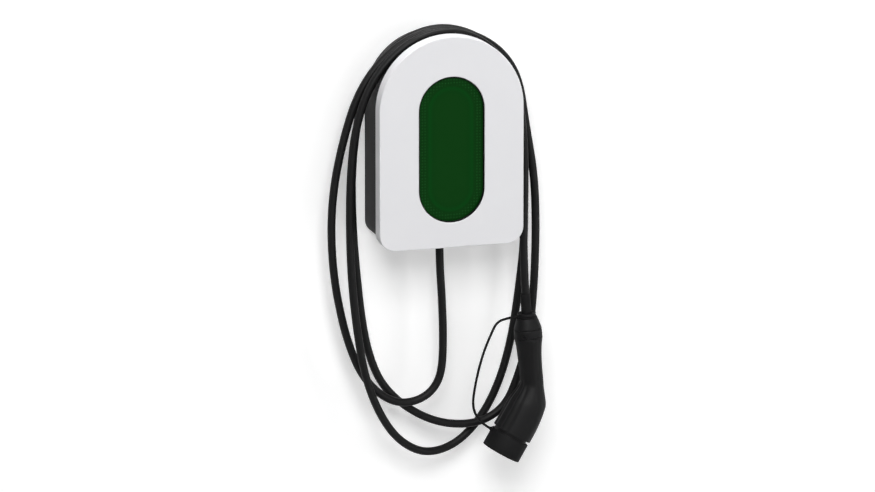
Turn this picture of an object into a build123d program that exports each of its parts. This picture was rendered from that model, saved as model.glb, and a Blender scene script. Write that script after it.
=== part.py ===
from build123d import *
import math
import os

# Electric car wall charger: a steel bracket on the wall, a hollow casing that the lead is hung on,
# sealed electronics, a white front cover with an oval window, and a charging lead that ends in a
# hand connector with a pull-off cap.
# Millimetres. The wall is the plane Y = 0, the unit stands in front of it towards -Y, +Z is up.
# The origin is the centre of the four wall screws. Depths are measured out from the wall.

# Front cover
cover_width = 230.0
cover_height = 331.0
cover_corner = 26.0
cover_wall = 3.0
cover_rim = 23.0
cover_edge_round = 1.5
unit_depth = 118.0
casing_to_face = 14.0
screw_centre_height = 165.5
rib_thickness = 2.4
rib_heights = (-95.0, -35.0, 25.0)
rib_angles = (35.0, 90.0, 145.0)

# Oval window and the lit ring behind it
window_width = 105.0
window_height = 229.0
window_margin = 39.5
window_chamfer = 0.8
lens_recess = 1.0
lens_flange_thickness = 3.0
lens_flange_width = 4.0
light_guide_thickness = 2.0
light_guide_width = 12.0
led_board_width = 18.0
led_thickness = 1.4
led_length = 3.5
led_width = 2.8
led_spacing = 22.0

# Rear casing
casing_inset = 10.5
casing_wall = 3.0
base_bottom_inset = 2.0
base_corner = 22.0
base_lip_inset = 1.0
base_lip_thickness = 3.0
bracket_recess = 10.0
flange_width = 8.0
flange_thickness = 4.0
groove_inset = 2.5
gasket_width = 3.0
gasket_thickness = 2.0
boss_radius = 4.5
boss_inset = 11.0
boss_heights = (-125.0, -15.0)
boss_angle = 50.0
inner_cover_thickness = 3.0
inner_cover_rib = 5.0

# Fasteners
screw_radius = 2.0
screw_head_radius = 3.8
screw_head_height = 2.6
screw_length = 12.0
drive_radius = 1.3
drive_depth = 1.4
thread_clearance = 0.05
cover_screw_x = 70.0
cover_screw_length = 14.0
cover_screw_pad = 5.0

# Wall bracket
plate_thickness = 2.0
plate_width = 150.0
plate_height = 210.0
plate_corner = 12.0
wall_hole_radius = 3.25
wall_hole_x = 120.0
wall_hole_z = 180.0
bracket_window = 60.0
bracket_window_z = 55.0
hook_x = 48.0
hook_width = 16.0
hook_z = 24.0
hook_reach = 6.0
hook_lip = 8.0
catch_lip_thickness = 2.7
catch_gap = 0.5
catch_rise = 2.0
tongue_width = 30.0
tongue_tip_gap = 6.0
lock_screw_length = 15.0

# Cable entries
supply_hole_radius = 16.0
supply_bore_radius = 8.0
grommet_lip = 3.0
grommet_groove = 2.0
gland_depth = 51.0
gland_thread_radius = 12.5
gland_flats = 31.0
gland_flange_thickness = 5.0
gland_inner_length = 9.0
gland_collar_radius = 11.5
gland_collar_length = 7.0
gland_seal_radius = 9.5
gland_seal_length = 8.0
gland_dome_length = 19.0
gland_dome_tip_radius = 8.5
gland_nut_wall = 2.5
locknut_thickness = 5.0

# Electronics
standoff_height = 12.0
standoff_radius = 3.5
standoff_x = 62.0
standoff_z = (16.0, 57.0, 98.0)
board_thickness = 1.6
board_width = 150.0
board_bottom = -28.0
board_top = 132.0
board_margin = 14.5
terminal_size = (60.0, 26.0, 26.0)
terminal_x = 38.0
terminal_z = -10.0
terminal_pitch = 11.0
terminal_well_radius = 3.0
relay_size = (30.0, 30.0, 25.0)
relay_x = 19.0
relay_z = 68.0
sensor_size = (44.0, 18.0, 34.0)
sensor_z = 25.0
sensor_hole_radius = 11.0
supply_size = (42.0, 34.0, 30.0)
supply_x = -24.0
supply_z = 108.0
supply_round = 2.0
capacitor_radius = 9.0
capacitor_height = 30.0
capacitor_x = (18.0, 40.0)
capacitor_z = 104.0
control_width = 96.0
control_height = 64.0
control_z = 52.0
control_gap = 38.0
spacer_radius = 3.0
radio_size = (26.0, 18.0, 3.2)

# Charging lead
lead_diameter = 12.5
core_radius = 1.7
core_ring = 3.9
bore_gap = 0.15
fit_gap = 0.2
touch_gap = 0.3

# Hand connector, along the grip's axis from the top of its collar, then along the nose's axis
collar_top = (130.7, -84.0, -286.3)
grip_tilt = 4.6
nose_turn = 35.0
sleeve_length = 31.0
sleeve_top_radius = 7.7
sleeve_base_radius = 8.1
sleeve_flange_radius = 10.5
sleeve_flange_length = 4.0
lip_radius = 14.3
lip_length = 4.5
groove_radius = 13.0
ring_length = 2.6
ring_radius = 15.0
ring_stub = 2.5
bell_top_radius = 15.9
bell_mid_radius = 19.4
bell_base_radius = 21.6
bell_end = 26.0
nut_end = 41.0
nut_radius = 22.0
shell_wall = 3.0
grip_length = 133.0
head_length = 67.5
head_front_radius = 32.0
lead_end = 38.0
nose_gap = 4.9
nose_radius = 28.0
nose_flat = 21.0
nose_seat = 17.0
cap_length = 30.5
cap_wall = 3.0
cap_end_wall = 2.5
lug_width = 7.0
lug_length = 6.0
lug_height = 3.5
power_bore = 3.3
power_sleeve = 4.0
signal_bore = 1.6
signal_sleeve = 2.4
contact_inset = 3.5
contact_length = 30.0
flute_radius = 8.0
flute_depth = 1.7
flutes = ((0.0, 27.2), (24.5, 26.2), (50.0, 24.4))
flute_start = -6.0
flute_bend = (22.0, 31.2)
handle_screw_angle = 60.0
handle_screw_radius = 2.2
tether_diameter = 4.0

# Routes of the lead and of the cap's tether, from the box outwards. The lead drops from its gland,
# turns up on the left and goes over the casing three times, each turn further from the last.
lead_route = [
    (0, -51, -150), (0, -51, -200), (4.5, -51, -266), (6.5, -51, -334), (3.5, -51, -382),
    (-10, -51, -408), (-34, -51, -423), (-66, -51, -425), (-97, -51, -408), (-122, -50, -379),
    (-139, -50, -344), (-156, -51, -290), (-172, -53, -205), (-175, -55, -108),
    (-161, -57, -18), (-131, -59, 80), (-78, -59, 140), (-20, -59, 165), (38, -59, 160),
    (91, -58, 132), (125, -58, 85),
    (137, -57, 6), (152, -56, -78), (155, -54, -166), (153.5, -50, -252), (147, -46, -336),
    (128.5, -44, -402), (109.5, -43.5, -443.5), (76, -43, -465.5), (36, -42, -469.5),
    (-6, -40, -460.5), (-44, -36, -440), (-78, -33, -410), (-100, -31, -373),
    (-116, -30, -314), (-126, -31, -232), (-134, -34, -146), (-137, -38, -60),
    (-130, -42, 20), (-112, -44, 93), (-64, -45, 147), (-4, -45, 167.5), (54, -45, 154),
    (98, -45, 118), (118, -44, 66), (134, -42, -14), (141, -39, -100), (142, -35, -186),
    (134, -31, -266), (124, -28, -340), (104, -27, -412), (72, -27.5, -469), (30, -31, -505),
    (-20, -41, -512), (-65, -54, -485.5), (-98, -63, -441), (-124.5, -68, -376), (-138, -71, -300),
    (-147, -73, -222), (-150, -73, -140), (-149, -73, -58), (-141, -73, 22), (-116, -73, 93),
    (-65, -73, 147), (-4, -73, 167.5), (55, -73, 153), (98, -74, 112), (123, -75, 48),
    (130.5, -78, -55),
]
lead_straight = 88.0
tether_route = [
    (103.4, -84.4, -292.4), (82.5, -87, -296.3), (72.2, -88, -315), (57.4, -88, -350.6),
    (46.4, -87, -396.7), (42.4, -86, -433.8), (59.4, -84.3, -459.3),
]

# A cylinder drawn upwards or downwards from its place
STANDING = (Align.CENTER, Align.CENTER, Align.MIN)
HANGING = (Align.CENTER, Align.CENTER, Align.MAX)

# Places that follow from the sizes
cover_bottom = -screw_centre_height
arch_z = cover_bottom + cover_height - cover_width / 2
cover_back = unit_depth - cover_rim
face_back = unit_depth - cover_wall
casing_depth = unit_depth - casing_to_face
casing_bottom = cover_bottom + casing_inset
floor_depth = bracket_recess + casing_wall
base_front = cover_back - base_lip_thickness
inner_cover_front = casing_depth + inner_cover_thickness
window_z = cover_bottom + window_margin + window_height / 2
flange_back = face_back - lens_flange_thickness
guide_back = flange_back - light_guide_thickness
led_back = guide_back - led_thickness
board_back = floor_depth + standoff_height
board_front = board_back + board_thickness
control_back = board_front + control_gap
control_front = control_back + board_thickness
lead_radius = lead_diameter / 2
lead_bore = lead_radius + bore_gap
tether_radius = tether_diameter / 2
screw_bore = screw_radius + thread_clearance


def outline(inset, bottom_inset=None, corner=None):
    """Arch-topped outline of the housing, set in from the front cover's edge."""
    half = cover_width / 2 - inset
    bottom = cover_bottom + (inset if bottom_inset is None else bottom_inset)
    body = Pos(0, bottom) * Rectangle(2 * half, arch_z - bottom, align=(Align.CENTER, Align.MIN))
    shape = body + Pos(0, arch_z) * Circle(half)
    corners = shape.vertices().group_by(Axis.Y)[0]
    return fillet(corners, max(cover_corner - inset, 2.0) if corner is None else corner)


def base_outline(inset):
    """Outline of the casing's body, which reaches lower than the part inside the cover."""
    return outline(casing_inset + inset, base_bottom_inset + inset, base_corner - inset)


def window_outline(grow):
    """Upright oval of the window, grown or shrunk all round."""
    straight = window_height - window_width
    return Pos(0, window_z) * SlotCenterToCenter(straight, window_width + 2 * grow, rotation=90)


def slab(shape, back, front):
    """Solid of a flat shape between two depths in front of the wall."""
    return extrude(Plane.XZ.offset(back) * shape, front - back)


def block(x, z, width, height, back, front):
    """Upright block centred on x and z, between two depths."""
    return slab(Pos(x, z) * Rectangle(width, height), back, front)


def rod(x, z, radius, back, front):
    """Round rod that points away from the wall."""
    return slab(Pos(x, z) * Circle(radius), back, front)


def upright(radius, x, depth, low, high):
    """Round rod that stands upright between two heights."""
    return Pos(x, -depth, low) * Cylinder(radius, high - low, align=STANDING)


def boss_points():
    """The six screws of the inner cover, as places on the front plane."""
    half = cover_width / 2 - casing_inset - boss_inset
    turn = math.radians(boss_angle)
    points = [(side * half, height) for height in boss_heights for side in (-1, 1)]
    return points + [(side * half * math.sin(turn), arch_z + half * math.cos(turn)) for side in (-1, 1)]


def standoff_points():
    """The six feet that the power board stands on."""
    return [(side * standoff_x, height) for height in standoff_z for side in (-1, 1)]


def pan_screw(length):
    """Pan-head screw that stands on z = 0 with its head above, and points down."""
    head = Cylinder(screw_head_radius, screw_head_height, align=STANDING)
    head = fillet(head.edges().sort_by(Axis.Z)[-1], 1.0)
    socket = extrude(RegularPolygon(drive_radius, 6), drive_depth)
    drive = Pos(0, 0, screw_head_height - drive_depth) * socket
    shank = Cylinder(screw_radius, length, align=HANGING)
    return head + shank - drive


def facing(x, z, depth):
    """Place of a screw whose head faces the viewer."""
    return Location((x, -depth, z), (90, 0, 0))


def hexagon(flats, thickness):
    """Hexagonal prism, measured across its flats."""
    return extrude(RegularPolygon(flats / math.sqrt(3), 6), thickness)


def wall_bracket():
    """Steel plate with two hooks and a tongue for the lock screw."""
    plate = RectangleRounded(plate_width, plate_height, plate_corner)
    tip = casing_bottom + casing_wall + tongue_tip_gap
    tongue = Pos(0, (tip - plate_height / 2 + plate_corner) / 2) * Rectangle(
        tongue_width, plate_corner - plate_height / 2 - tip
    )
    plate = plate + tongue
    for side in (-1, 1):
        plate -= Pos(0, side * bracket_window_z) * RectangleRounded(bracket_window, bracket_window, 8)
        for level in (-1, 1):
            plate -= Pos(side * wall_hole_x / 2, level * wall_hole_z / 2) * Circle(wall_hole_radius)
    bracket = slab(plate, 0, plate_thickness)
    for side in (-1, 1):
        shelf = block(side * hook_x, hook_z, hook_width, plate_thickness, 0, plate_thickness + hook_reach)
        lip_z = hook_z + hook_lip / 2
        lip_height = hook_lip + plate_thickness
        front = plate_thickness + hook_reach
        lip = block(side * hook_x, lip_z, hook_width, lip_height, front - plate_thickness, front)
        bracket += shelf + lip
    tab = block(0, tip + plate_thickness / 2, tongue_width, plate_thickness, 0, bracket_recess - 1)
    bracket += tab
    bracket -= upright(screw_bore, 0, bracket_recess / 2, tip - 1, tip + plate_thickness + 1)
    return bracket


def casing_catch(side):
    """Hook on the casing's back that drops behind the bracket's hook."""
    shelf_top = hook_z + plate_thickness / 2
    lip_front = hook_reach - catch_gap
    lip_back = lip_front - catch_lip_thickness
    lip_top = shelf_top + hook_lip + catch_rise + plate_thickness
    depth = lip_top - shelf_top
    lip = block(side * hook_x, shelf_top + depth / 2, hook_width, depth, lip_back, lip_front)
    arm_height = lip_top - (shelf_top + hook_lip - plate_thickness / 2 + catch_rise)
    arm_z = lip_top - arm_height / 2
    arm = block(side * hook_x, arm_z, hook_width, arm_height, lip_back, bracket_recess + 1)
    return lip + arm


def rear_casing():
    """Hollow arch-topped casing with bosses, feet, catches and its cable openings."""
    inner = casing_inset + casing_wall
    casing = slab(base_outline(0), 0, base_front) + slab(outline(casing_inset), base_front, casing_depth)
    casing += slab(outline(base_lip_inset), base_front, cover_back - fit_gap)
    below = Pos(0, casing_bottom) * Rectangle(cover_width, 60, align=(Align.CENTER, Align.MAX))
    hollow = base_outline(casing_wall) & below
    hollow += Pos(0, -casing_wall - 1) * hollow
    casing -= slab(hollow, 0, base_front - casing_wall)
    casing -= slab(outline(inner), 0, bracket_recess)
    casing -= slab(outline(inner), floor_depth, casing_depth)
    flange = outline(casing_inset + casing_wall / 2) - outline(casing_inset + flange_width)
    casing += slab(flange, casing_depth - flange_thickness, casing_depth)
    for x, z in boss_points():
        casing += rod(x, z, boss_radius, floor_depth - 1, casing_depth)
    for x, z in standoff_points():
        casing += rod(x, z, standoff_radius, floor_depth - 1, board_back)
    for side in (-1, 1):
        casing += casing_catch(side)
        pad = casing_wall + cover_screw_pad
        back = cover_back + 0.5
        pad_z = casing_bottom + pad / 2
        casing += block(side * cover_screw_x, pad_z, 12, pad, back, casing_depth)
    groove = outline(casing_inset + groove_inset) - outline(casing_inset + groove_inset + gasket_width)
    casing -= slab(groove, casing_depth - gasket_thickness, casing_depth)
    for x, z in boss_points():
        casing -= rod(x, z, screw_bore, casing_depth - screw_length, casing_depth)
    for x, z in standoff_points():
        casing -= rod(x, z, screw_bore, board_back - screw_length + board_thickness, board_back)
    for side in (-1, 1):
        top = cover_bottom + screw_head_height + cover_screw_length
        casing -= upright(screw_bore, side * cover_screw_x, cover_screw_depth(), casing_bottom - 1, top)
    low, high = casing_bottom - 1, casing_bottom + casing_wall + 1
    casing -= upright(screw_bore + 0.3, 0, bracket_recess / 2, low, high)
    casing -= upright(gland_thread_radius + fit_gap, 0, gland_depth, low, high)
    casing -= rod(0, -bracket_window_z, supply_hole_radius, bracket_recess - 1, floor_depth + 1)
    return casing


def cover_screw_depth():
    """Depth of the two screws that hold the cover's lower edge."""
    return (cover_back + casing_depth) / 2


def casing_gasket():
    """Flat seal in the groove of the casing's front flange."""
    low = casing_inset + groove_inset + bore_gap
    high = casing_inset + groove_inset + gasket_width - bore_gap
    return slab(outline(low) - outline(high), casing_depth - gasket_thickness, casing_depth)


def inner_cover():
    """Inner cover that closes the casing, with a rib inside the flange."""
    cover = slab(outline(casing_inset), casing_depth, inner_cover_front)
    rib_inset = casing_inset + flange_width + fit_gap
    ring = outline(rib_inset) - outline(rib_inset + casing_wall)
    rib = slab(ring, casing_depth - inner_cover_rib, casing_depth)
    for x, z in boss_points():
        rib -= rod(x, z, boss_radius + fit_gap, casing_depth - inner_cover_rib, casing_depth)
        cover -= rod(x, z, screw_radius + 0.3, casing_depth, inner_cover_front)
    return cover + rib


def inner_cover_screws():
    """The six screws that hold the inner cover."""
    screw = pan_screw(screw_length)
    return Compound(children=[facing(x, z, inner_cover_front) * screw for x, z in boss_points()])


def front_cover():
    """White cover with its rim, window opening, ribs and screw pads."""
    shell = slab(outline(0), cover_back, unit_depth)
    front = shell.faces().sort_by(Axis.Y)[0]
    shell = fillet(front.edges(), cover_edge_round)
    shell -= slab(outline(cover_wall), cover_back, face_back)
    shell -= slab(window_outline(0), face_back - 1, unit_depth + 1)
    front = shell.faces().sort_by(Axis.Y)[0]
    shell = chamfer(front.inner_wires()[0].edges(), window_chamfer)
    gap = slab(outline(cover_wall / 2) - outline(casing_inset - fit_gap), cover_back + 2, face_back)
    blades = [block(0, height, cover_width, rib_thickness, cover_back, face_back) for height in rib_heights]
    for angle in rib_angles:
        blade = Pos(cover_width / 2, 0) * Rectangle(cover_width / 2, rib_thickness)
        blades.append(slab(Pos(0, arch_z) * Rot(0, 0, angle) * blade, cover_back, face_back))
    shell += gap & (Part() + blades)
    for side in (-1, 1):
        x = side * cover_screw_x
        pad_height = casing_inset - fit_gap
        shell += block(x, cover_bottom + pad_height / 2, 12, pad_height, cover_back, face_back)
        depth = cover_screw_depth()
        shell -= upright(screw_radius + 0.3, x, depth, cover_bottom - 1, casing_bottom)
        seat = cover_bottom + screw_head_height
        shell -= upright(screw_head_radius + 0.3, x, depth, cover_bottom - 1, seat)
    return shell


def cover_screws():
    """The two screws that go up through the cover's lower edge."""
    place = Location((0, -cover_screw_depth(), cover_bottom + screw_head_height), (180, 0, 0))
    screw = pan_screw(cover_screw_length)
    return Compound(children=[Pos(side * cover_screw_x, 0, 0) * place * screw for side in (-1, 1)])


def lock_screw():
    """Screw through the casing's bottom that locks it to the bracket."""
    return Location((0, -bracket_recess / 2, casing_bottom), (180, 0, 0)) * pan_screw(lock_screw_length)


def window_lens():
    """Dark sheet with a flange behind the cover's opening."""
    body = slab(window_outline(-bore_gap), flange_back, unit_depth - lens_recess)
    return body + slab(window_outline(lens_flange_width), flange_back, face_back)


def light_guide():
    """Ring that spreads the light behind the window's edge."""
    return slab(window_outline(0) - window_outline(-light_guide_width), guide_back, flange_back)


def led_board():
    """Ring-shaped board that carries the lamps."""
    return slab(window_outline(2) - window_outline(-led_board_width), inner_cover_front, led_back)


def led_places():
    """Places of the lamps along an oval inside the light guide, with the turn of each."""
    radius = (window_width - light_guide_width) / 2
    straight = window_height - window_width
    length = 2 * straight + 2 * math.pi * radius
    count = round(length / led_spacing)
    places = []
    for number in range(count):
        run = number * length / count
        side = 1 if run < length / 2 else -1
        run -= 0 if side > 0 else length / 2
        if run < straight:
            places.append((side * radius, window_z + side * (run - straight / 2), 90))
        else:
            turn = (run - straight) / radius
            x = side * radius * math.cos(turn)
            z = window_z + side * (straight / 2 + radius * math.sin(turn))
            places.append((x, z, 90 + math.degrees(turn)))
    return places


def status_leds():
    """Small lamps, evenly spaced round the ring."""
    lamp = Rectangle(led_length, led_width)
    places = [Pos(x, z) * Rot(0, 0, turn) for x, z, turn in led_places()]
    return Compound(children=[slab(place * lamp, led_back, guide_back) for place in places])


def power_board():
    """Main board on the casing's feet."""
    middle = (board_bottom + board_top) / 2
    panel = Pos(0, middle) * Rectangle(board_width, board_top - board_bottom)
    panel = panel & outline(casing_inset + casing_wall + board_margin)
    for x, z in standoff_points():
        panel -= Pos(x, z) * Circle(screw_radius + 0.3)
    return slab(panel, board_back, board_front)


def board_screws():
    """The six screws of the power board."""
    screw = pan_screw(screw_length)
    return Compound(children=[facing(x, z, board_front) * screw for x, z in standoff_points()])


def terminal_places():
    """Poles of one terminal block, counted from its middle."""
    return [(number - 2) * terminal_pitch for number in range(5)]


def terminal_block(x):
    """Terminal block with a well for each screw and an opening for each wire."""
    width, height, depth = terminal_size
    body = block(x, terminal_z, width, height, board_front, board_front + depth)
    body = chamfer(body.edges().filter_by(Axis.X).group_by(Axis.Y)[0], 3)
    for offset in terminal_places():
        place = x + offset
        front = board_front + depth
        body -= rod(place, terminal_z, terminal_well_radius, front - depth / 2, front)
        mouth = terminal_z - height / 2
        body -= upright(terminal_well_radius, place, board_front + depth / 3, mouth, mouth + height / 3)
    return body


def terminal_screws():
    """Screws at the bottom of the terminals' wells."""
    depth = board_front + terminal_size[2] / 2
    head = terminal_well_radius - fit_gap
    slot = Pos(0, 0, 3) * Box(2 * head, 0.8, 2)
    screw = Cylinder(head, 3, align=STANDING) - slot
    places = [(side * terminal_x + offset) for side in (-1, 1) for offset in terminal_places()]
    return Compound(children=[facing(x, terminal_z, depth) * screw for x in places])


def relays():
    """Two relays that switch the lead on."""
    width, height, depth = relay_size
    cans = []
    for side in (-1, 1):
        can = block(side * relay_x, relay_z, width, height, board_front, board_front + depth)
        cans.append(fillet(can.edges().filter_by(Axis.Y), 1.5))
    return Compound(children=cans)


def current_sensor():
    """Sensor ring that watches for a leak of current."""
    width, height, depth = sensor_size
    body = block(0, sensor_z, width, height, board_front, board_front + depth)
    body = fillet(body.edges().filter_by(Axis.Z), 6)
    middle = board_front + depth / 2
    return body - upright(sensor_hole_radius, 0, middle, sensor_z - height, sensor_z + height)


def power_supply():
    """Sealed module that feeds the electronics."""
    width, height, depth = supply_size
    body = block(supply_x, supply_z, width, height, board_front, board_front + depth)
    front = body.faces().sort_by(Axis.Y)[0]
    return fillet(body.edges().filter_by(Axis.Y) + front.edges(), supply_round)


def capacitors():
    """Round capacitors beside the supply."""
    cans = []
    for x in capacitor_x:
        can = rod(x, capacitor_z, capacitor_radius, board_front, board_front + capacitor_height)
        cans.append(fillet(can.edges().sort_by(Axis.Y)[0], 1.5))
    return Compound(children=cans)


def control_points():
    """Places of the spacers that hold the control board."""
    half_width = control_width / 2 - 5
    half_height = control_height / 2 - 5
    return [(x, control_z + z) for x in (-half_width, half_width) for z in (-half_height, half_height)]


def control_board():
    """Small board in front of the power board."""
    panel = Pos(0, control_z) * RectangleRounded(control_width, control_height, 3)
    return slab(panel, control_back, control_front)


def board_spacers():
    """Spacers between the two boards."""
    spacers = [rod(x, z, spacer_radius, board_front, control_back) for x, z in control_points()]
    return Compound(children=spacers)


def radio_module():
    """Shielded can on the control board."""
    width, height, depth = radio_size
    can = block(0, control_z + 14, width, height, control_front, control_front + depth)
    return fillet(can.edges().filter_by(Axis.Y), 1.0)


def supply_grommet():
    """Rubber grommet in the opening for the supply cable."""
    lip = supply_hole_radius + grommet_lip
    low, high = bracket_recess - grommet_groove, floor_depth + grommet_groove
    body = rod(0, -bracket_window_z, supply_hole_radius - bore_gap, bracket_recess, floor_depth)
    body += rod(0, -bracket_window_z, lip, low, bracket_recess)
    body += rod(0, -bracket_window_z, lip, floor_depth, high)
    return body - rod(0, -bracket_window_z, supply_bore_radius, low, high)


def gland_body():
    """Threaded gland through the casing's bottom."""
    flange_bottom = casing_bottom - gland_flange_thickness
    body = Pos(0, -gland_depth, flange_bottom) * hexagon(gland_flats, gland_flange_thickness)
    top = casing_bottom + casing_wall + gland_inner_length
    body += upright(gland_thread_radius, 0, gland_depth, casing_bottom, top)
    collar_end = flange_bottom - gland_collar_length
    body += upright(gland_collar_radius, 0, gland_depth, collar_end, flange_bottom)
    body -= upright(lead_radius + 0.6, 0, gland_depth, collar_end - 1, top + 1)
    return body - upright(gland_seal_radius, 0, gland_depth, collar_end, collar_end + gland_seal_length)


def gland_seal():
    """Rubber seal that the gland presses onto the lead."""
    low = casing_bottom - gland_flange_thickness - gland_collar_length
    ring = upright(gland_seal_radius - bore_gap, 0, gland_depth, low, low + gland_seal_length)
    return ring - upright(lead_bore, 0, gland_depth, low, low + gland_seal_length)


def gland_nut():
    """Dome nut that squeezes the seal on the lead."""
    top = casing_bottom - gland_flange_thickness
    collar_end = top - gland_collar_length
    tip = top - gland_dome_length
    outer = gland_collar_radius + gland_nut_wall
    profile = Polyline(
        (outer, top), (outer, collar_end - 3), (gland_dome_tip_radius + 1.5, tip), (lead_bore, tip),
        (lead_bore, collar_end), (gland_collar_radius + bore_gap, collar_end),
        (gland_collar_radius + bore_gap, top), close=True,
    )
    dome = revolve(Plane.XZ * make_face(profile), Axis.Z)
    groove = Pos(outer + 0.4, 0, top) * Cylinder(1.2, 14, align=HANGING)
    grips = [Rot(0, 0, turn) * groove for turn in range(0, 360, 30)]
    return Pos(0, -gland_depth, 0) * (dome - grips)


def gland_locknut():
    """Flat nut inside the casing that holds the gland."""
    low = casing_bottom + casing_wall
    nut = Pos(0, -gland_depth, low) * hexagon(gland_flats, locknut_thickness)
    thread = gland_thread_radius + thread_clearance
    return nut - upright(thread, 0, gland_depth, low - 1, low + locknut_thickness + 1)


def smooth_path(points):
    """Straight runs joined by arcs as large as the runs allow."""
    vectors = [Vector(*point) for point in points]
    radii = []
    for before, here, after in zip(vectors, vectors[1:], vectors[2:]):
        turn = math.radians((here - before).get_angle(after - here))
        shorter = min((here - before).length, (after - here).length)
        radii.append(0.45 * shorter / math.tan(turn / 2))
    return FilletPolyline(*vectors, radius=radii), radii


def tube(points, radius):
    """Round solid of one thickness along a path."""
    path, radii = smooth_path(points)
    start = Vector(*points[0])
    section = Plane(origin=start, z_dir=Vector(*points[1]) - start) * Circle(radius)
    return sweep(section, path=path), path, radii


def grip_place():
    """Where the hand connector hangs, and how it leans."""
    return Location(collar_top, (0, -grip_tilt, 0))


def on_grip(height):
    """Point of the grip's axis this far above the top of its collar."""
    return (grip_place() * Pos(0, 0, height)).position


def full_lead_route():
    """Route of the lead with its last two points on the connector's axis."""
    return lead_route + [tuple(on_grip(lead_straight)), tuple(on_grip(-lead_end))]


def ring_point():
    """Where the tether leaves its ring, on the side that the nose turns to."""
    return tuple((grip_place() * Pos(-ring_radius - ring_stub, 0, -lip_length)).position)


def lug_point():
    """Outer face of the cap's lug."""
    reach = nose_radius + touch_gap + cap_wall + lug_height
    place = grip_place() * nose_location(head_length + nose_gap + lug_length / 2 + 1)
    return tuple((place * Pos(-reach - fit_gap / 2, 0, 0)).position)


def nose_location(along):
    """Place on the nose's axis, in the grip's frame: local z runs out of the nose, x to its outer side."""
    turn = math.radians(nose_turn)
    out = Vector(-math.sin(turn), 0, -math.cos(turn))
    origin = Vector(0, 0, -grip_length) + out * along
    return Plane(origin=origin, x_dir=Vector(math.cos(turn), 0, -math.sin(turn)), z_dir=out).location


def charge_lead():
    """The lead from the gland to the connector."""
    solid, path, radii = tube(full_lead_route(), lead_radius)
    print("lead length", round(path.length), "radii", [round(radius) for radius in radii])
    print("lead volume ratio", round(solid.volume / (math.pi * lead_radius ** 2 * path.length), 4))
    return solid


def cap_tether():
    """Thin rubber cord from the ring to the cap."""
    solid, path, radii = tube([ring_point()] + tether_route + [lug_point()], tether_radius)
    print("tether length", round(path.length), "radii", [round(radius) for radius in radii])
    print("tether volume ratio", round(solid.volume / (math.pi * tether_radius ** 2 * path.length), 4))
    return solid


def core_places():
    """The five wires of the lead around its middle, from left to right."""
    places = []
    for number in range(5):
        turn = math.radians(90 + 72 * number)
        places.append((core_ring * math.cos(turn), core_ring * math.sin(turn)))
    return sorted(places)


def lead_cores():
    """Five insulated wires from the lead's end in the gland to the outgoing terminals."""
    low = lead_route[0][2]
    wires = []
    mouth = terminal_z - terminal_size[1] / 2
    depth = board_front + terminal_size[2] / 3
    for number, (x, y) in enumerate(core_places()):
        end_x = terminal_x + terminal_places()[number]
        rise = low + 22 + 5 * number
        route = [(x, y - gland_depth, low), (x, y - gland_depth, rise)]
        route += [(end_x, -depth, mouth - 30), (end_x, -depth, mouth + 4)]
        wires.append(tube(route, core_radius)[0])
    return Compound(children=wires)


def turned(points):
    """Solid turned about the grip's axis from an outline of radius and height."""
    return revolve(Plane.XZ * make_face(Polyline(*points, close=True)), Axis.Z)


def strain_sleeve():
    """Sleeve round the lead above the connector."""
    top = sleeve_length
    under = -shell_wall
    return turned([
        (lead_bore, top), (sleeve_top_radius - 0.6, top), (sleeve_top_radius, top - 0.6),
        (sleeve_base_radius, 0), (sleeve_base_radius, under), (sleeve_flange_radius, under),
        (sleeve_flange_radius, under - sleeve_flange_length), (lead_bore, under - sleeve_flange_length),
    ])


def connector_collar():
    """Rear end of the handle: a lip, a groove for the tether's ring and a bell."""
    groove_end = -lip_length - ring_length
    outer = Polyline(
        (sleeve_base_radius + fit_gap, 0), (lip_radius, 0), (lip_radius, -lip_length),
        (groove_radius, -lip_length), (groove_radius, groove_end), (bell_top_radius, groove_end),
    )
    bell = ThreePointArc(
        (bell_top_radius, groove_end), (bell_mid_radius, (groove_end * 0.45 - bell_end * 0.55)),
        (bell_base_radius, -bell_end),
    )
    inner = Polyline(
        (bell_base_radius, -bell_end), (bell_base_radius - shell_wall, -bell_end),
        (bell_mid_radius - shell_wall - 1.5, (groove_end - bell_end) / 2),
        (groove_radius - 2.2, groove_end), (groove_radius - 2.2, -shell_wall),
        (sleeve_base_radius + fit_gap, -shell_wall), (sleeve_base_radius + fit_gap, 0),
    )
    return revolve(Plane.XZ * make_face(outer + bell + inner), Axis.Z)


def tether_ring():
    """Ring in the collar's groove, with a stub for the tether."""
    gap = touch_gap / 2
    top = -lip_length - gap
    bottom = -lip_length - ring_length + gap
    middle = (top + bottom) / 2
    ring = grip_place() * turned([
        (groove_radius + gap, top), (ring_radius - 1, top), (ring_radius, middle + 1),
        (ring_radius, middle - 1), (ring_radius - 1, bottom), (groove_radius + gap, bottom),
    ])
    start = Vector(*ring_point())
    stub = Plane(origin=start, z_dir=Vector(*tether_route[0]) - start) * Cylinder(
        tether_radius + fit_gap, ring_stub + 0.6, align=HANGING
    )
    bore = Cylinder(groove_radius + gap, 4 * ring_length)
    return ring + (stub - grip_place() * Pos(0, 0, middle) * bore)


def screw_axis(sign):
    """Place of a handle screw: local z points out through the nut's wall."""
    turn = math.radians(handle_screw_angle)
    out = Vector(-math.sin(turn), -sign * math.cos(turn), 0)
    return Plane(origin=Vector(0, 0, -(bell_end + nut_end) / 2), z_dir=out).location


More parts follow.
